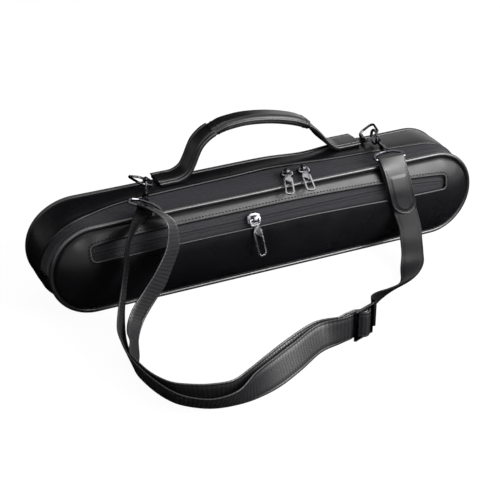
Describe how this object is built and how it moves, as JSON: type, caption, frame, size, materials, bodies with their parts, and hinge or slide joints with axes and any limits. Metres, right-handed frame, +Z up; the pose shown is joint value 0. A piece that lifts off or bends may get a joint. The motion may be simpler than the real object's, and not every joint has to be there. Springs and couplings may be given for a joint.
{
  "type": "flute bag",
  "caption": "Soft long clamshell bag for a flute with a zippered front pocket, carrying handle and a clip-on shoulder strap",
  "frame": {"origin": "centre of the bottom gusset's outer face, on the surface the bag stands on", "axes": "+X along the bag, -Y out of the front lid, +Z up"},
  "size_m": [0.435, 0.2591, 0.14],
  "materials": {
    "leather": "satin leather grain",
    "piping_leather": "semi-gloss",
    "zip_tape": "matt woven",
    "webbing": "ribbed, slight sheen",
    "lining": "matt",
    "foam": "matt",
    "polished_metal": "polished",
    "black_enamel": "gloss black",
    "black_nickel": "polished black nickel"
  },
  "bodies": {
    "bag": {"rear_gusset": "leather", "rear_panel": "leather", "rear_piping": "piping_leather", "rear_zip_tape": "zip_tape", "bottom_gusset": "leather", "rear_side_pad": "foam", "rear_back_pad": "foam", "handle_strap": "leather", "handle_grip": "leather", "left_front_rivet": "black_nickel", "left_rear_rivet": "black_nickel", "right_front_rivet": "black_nickel", "right_rear_rivet": "black_nickel", "left_ring_loop": "leather", "right_ring_loop": "leather", "left_zip_stop": "black_nickel", "right_zip_stop": "black_nickel"},
    "lid": {"front_panel": "leather", "front_piping": "piping_leather", "front_zip_tape": "zip_tape", "pocket_zip_lower": "zip_tape", "pocket_zip_upper": "zip_tape", "pocket_back": "lining", "front_pad": "foam"},
    "main_slider_left": {"main_slider_left": "black_enamel"},
    "main_slider_right": {"main_slider_right": "black_enamel"},
    "main_pull_left": {"main_pull_left": "polished_metal"},
    "main_pull_right": {"main_pull_right": "polished_metal"},
    "pocket_slider": {"pocket_slider": "polished_metal"},
    "pocket_pull": {"pocket_pull": "polished_metal"},
    "left_ring": {"left_ring": "black_nickel"},
    "right_ring": {"right_ring": "black_nickel"},
    "strap": {"strap_webbing_front": "webbing", "strap_webbing_back": "webbing", "strap_webbing_right": "webbing", "strap_adjuster": "black_nickel", "strap_end_tab": "leather", "left_swivel_eye": "black_nickel", "right_swivel_eye": "black_nickel"},
    "left_hook": {"left_hook": "black_nickel"},
    "right_hook": {"right_hook": "black_nickel"},
    "left_gate": {"left_gate": "black_nickel"},
    "right_gate": {"right_gate": "black_nickel"}
  },
  "joints": [
    {"name": "lid_open", "type": "hinge", "parent": "bag", "child": "lid", "pos_m": [0, -0.0292, 0.0018], "axis": [1, 0, 0], "range_deg": [0, 50]},
    {"name": "strap_swing", "type": "hinge", "parent": "bag", "child": "strap", "pos_m": [0.00919, 0.00813, 0.09661], "axis": [-0.9999, -0.0005, -0.0105], "range_deg": [0, 80]},
    {"name": "main_slide_left", "type": "slide", "parent": "lid", "child": "main_slider_left", "axis": [1, 0, 0], "range_m": [-0.1, 0]},
    {"name": "main_slide_right", "type": "slide", "parent": "lid", "child": "main_slider_right", "axis": [1, 0, 0], "range_m": [0, 0.055]},
    {"name": "main_pull_lift_left", "type": "hinge", "parent": "main_slider_left", "child": "main_pull_left", "pos_m": [0.023, -0.0125, 0.0903], "axis": [-0.9272, 0.3746, 0], "range_deg": [0, 95]},
    {"name": "main_pull_lift_right", "type": "hinge", "parent": "main_slider_right", "child": "main_pull_right", "pos_m": [0.04, -0.0125, 0.0903], "axis": [-0.9659, 0.2588, 0], "range_deg": [0, 95]},
    {"name": "pocket_slide", "type": "slide", "parent": "lid", "child": "pocket_slider", "axis": [1, 0, 0], "range_m": [-0.066, 0.12]},
    {"name": "pocket_pull_lift", "type": "hinge", "parent": "pocket_slider", "child": "pocket_pull", "pos_m": [-0.025, -0.04363, 0.0664], "axis": [-0.9877, 0, -0.1564], "range_deg": [0, 105]},
    {"name": "left_ring_turn", "type": "hinge", "parent": "bag", "child": "left_ring", "pos_m": [-0.10128, 0.02119, 0.0913], "axis": [-0.2419, 0.9703, 0], "range_deg": [-6, 8]},
    {"name": "right_ring_turn", "type": "hinge", "parent": "bag", "child": "right_ring", "pos_m": [0.12124, 0.02106, 0.0913], "axis": [-0.2588, -0.9659, 0], "range_deg": [-6, 8]},
    {"name": "left_hook_swivel", "type": "hinge", "parent": "strap", "child": "left_hook", "pos_m": [-0.1084, 0.00807, 0.09537], "axis": [-0.4044, -0.9126, -0.0604], "range_deg": [-10, 10]},
    {"name": "left_gate_open", "type": "hinge", "parent": "left_hook", "child": "left_gate", "pos_m": [-0.11257, -0.00147, 0.09685], "axis": [0.9146, -0.4035, -0.0267], "range_deg": [0, 22], "stiffness_Nm_per_rad": 0.01, "springref_deg": -11.46},
    {"name": "right_hook_swivel", "type": "hinge", "parent": "strap", "child": "right_hook", "pos_m": [0.12679, 0.00818, 0.09785], "axis": [-0.1094, -0.9865, -0.1221], "range_deg": [-10, 10]},
    {"name": "right_gate_open", "type": "hinge", "parent": "right_hook", "child": "right_gate", "pos_m": [0.12566, -0.00223, 0.09867], "axis": [0.994, -0.1086, -0.0134], "range_deg": [0, 22], "stiffness_Nm_per_rad": 0.01, "springref_deg": -11.46}
  ],
  "couplings": [
    {"joint": "strap_swing", "follows": "lid_open", "ratio": 1.6}
  ]
}
